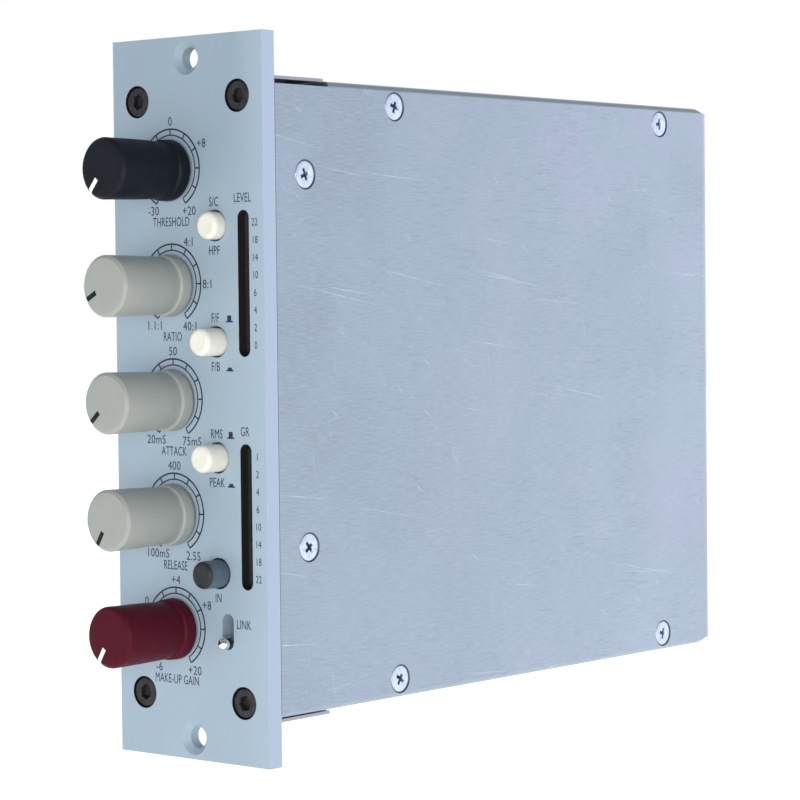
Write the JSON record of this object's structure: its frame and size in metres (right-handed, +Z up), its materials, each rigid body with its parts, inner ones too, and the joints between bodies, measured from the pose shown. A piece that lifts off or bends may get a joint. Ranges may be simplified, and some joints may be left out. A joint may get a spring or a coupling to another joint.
{
  "type": "rack compressor module",
  "caption": "Narrow card-frame audio compressor: painted front panel with turning knobs, push buttons, light slots and a link lever, on a zinc-plated case with a rear card edge.",
  "frame": {"origin": "centre of the front panel's back (seating) face, midway between the two rack screw holes", "axes": "+X to the right seen from the front, +Y into the rack, away from the person who turns the knobs, +Z up"},
  "size_m": [0.0382, 0.1724, 0.1334],
  "materials": {
    "panel_paint": "satin light blue-grey powder coat",
    "zinc_sheet": "zinc-plated sheet with a faint grain and scratches",
    "bright_screw": "bright zinc-plated steel",
    "black_screw": "black oxide steel",
    "board_green": "green solder mask on glass-epoxy board",
    "contact_gold": "gold-plated contact",
    "spacer_metal": "nickel-plated spacer",
    "switch_black": "black moulded plastic",
    "switch_slate": "dark slate moulded plastic",
    "lever_chrome": "bright chrome",
    "light_green": "tinted clear epoxy",
    "light_amber": "tinted clear epoxy",
    "window_smoke": "smoked acrylic",
    "transformer_can": "drawn metal can",
    "transformer_core": "laminated core and taped coil",
    "capacitor_sleeve": "shrunk sleeve",
    "film_red": "moulded box",
    "relay_cream": "moulded case",
    "pot_metal": "plated case and bush",
    "shaft_metal": "turned shaft",
    "knob_black": "black moulded plastic, soft satin",
    "knob_grey": "warm light grey moulded plastic, soft satin",
    "knob_red": "dark red moulded plastic, soft satin",
    "pointer_white": "white paint fill",
    "pointer_black": "black paint fill",
    "plunger_white": "natural nylon",
    "cap_white": "ivory white moulded plastic",
    "cap_slate": "dark slate moulded plastic"
  },
  "bodies": {
    "case": {"front_panel": "panel_paint", "front_bracket": "zinc_sheet", "chassis": "zinc_sheet", "side_cover": "zinc_sheet", "cover_screws": "bright_screw", "wall_screws": "bright_screw", "panel_screws": "black_screw", "main_board": "board_green", "edge_contacts": "contact_gold", "board_standoffs": "spacer_metal", "board_screws": "bright_screw", "control_board": "board_green", "control_spacers": "spacer_metal", "spacer_screws": "bright_screw", "board_header": "switch_black", "link_switch": "switch_slate", "level_lights": "light_green", "reduction_lights": "light_amber", "level_window": "window_smoke", "reduction_window": "window_smoke", "input_transformer": "transformer_can", "output_transformer": "transformer_core", "electrolytic_capacitors": "capacitor_sleeve", "film_capacitors": "film_red", "amplifier_chips": "switch_black", "bypass_relay": "relay_cream", "threshold_pot": "pot_metal", "ratio_pot": "pot_metal", "attack_pot": "pot_metal", "release_pot": "pot_metal", "gain_pot": "pot_metal", "filter_switch": "switch_black", "feed_switch": "switch_black", "detector_switch": "switch_black", "in_switch": "switch_black"},
    "threshold_control": {"threshold_knob": "knob_black", "threshold_shaft": "shaft_metal", "threshold_pointer": "pointer_white"},
    "ratio_control": {"ratio_knob": "knob_grey", "ratio_shaft": "shaft_metal", "ratio_pointer": "pointer_black"},
    "attack_control": {"attack_knob": "knob_grey", "attack_shaft": "shaft_metal", "attack_pointer": "pointer_black"},
    "release_control": {"release_knob": "knob_grey", "release_shaft": "shaft_metal", "release_pointer": "pointer_black"},
    "gain_control": {"gain_knob": "knob_red", "gain_shaft": "shaft_metal", "gain_pointer": "pointer_white"},
    "filter_button": {"filter_cap": "cap_white", "filter_plunger": "plunger_white"},
    "feed_button": {"feed_cap": "cap_white", "feed_plunger": "plunger_white"},
    "detector_button": {"detector_cap": "cap_white", "detector_plunger": "plunger_white"},
    "in_button": {"in_cap": "cap_slate", "in_plunger": "plunger_white"},
    "link_toggle": {"link_lever": "lever_chrome"}
  },
  "joints": [
    {"name": "threshold_turn", "type": "hinge", "parent": "case", "child": "threshold_control", "pos_m": [-0.00415, 0, 0.04217], "axis": [0, 1, 0], "range_deg": [-9, 291]},
    {"name": "ratio_turn", "type": "hinge", "parent": "case", "child": "ratio_control", "pos_m": [-0.00415, 0, 0.02097], "axis": [0, 1, 0], "range_deg": [-31, 269]},
    {"name": "attack_turn", "type": "hinge", "parent": "case", "child": "attack_control", "pos_m": [-0.00415, 0, -0.00023], "axis": [0, 1, 0], "range_deg": [-17, 283]},
    {"name": "release_turn", "type": "hinge", "parent": "case", "child": "release_control", "pos_m": [-0.00415, 0, -0.02143], "axis": [0, 1, 0], "range_deg": [0, 300]},
    {"name": "gain_turn", "type": "hinge", "parent": "case", "child": "gain_control", "pos_m": [-0.00415, 0, -0.04263], "axis": [0, 1, 0], "range_deg": [0, 300]},
    {"name": "filter_press", "type": "slide", "parent": "case", "child": "filter_button", "axis": [0, 1, 0], "range_m": [-0.0023, 0.0005], "stiffness_N_per_m": 300},
    {"name": "feed_press", "type": "slide", "parent": "case", "child": "feed_button", "axis": [0, 1, 0], "range_m": [0, 0.0028], "stiffness_N_per_m": 300},
    {"name": "detector_press", "type": "slide", "parent": "case", "child": "detector_button", "axis": [0, 1, 0], "range_m": [0, 0.0028], "stiffness_N_per_m": 300},
    {"name": "in_press", "type": "slide", "parent": "case", "child": "in_button", "axis": [0, 1, 0], "range_m": [0, 0.0028], "stiffness_N_per_m": 300},
    {"name": "link_throw", "type": "hinge", "parent": "case", "child": "link_toggle", "pos_m": [0.00895, 0.0034, -0.0424], "axis": [-1, 0, 0], "range_deg": [0, 30]}
  ]
}
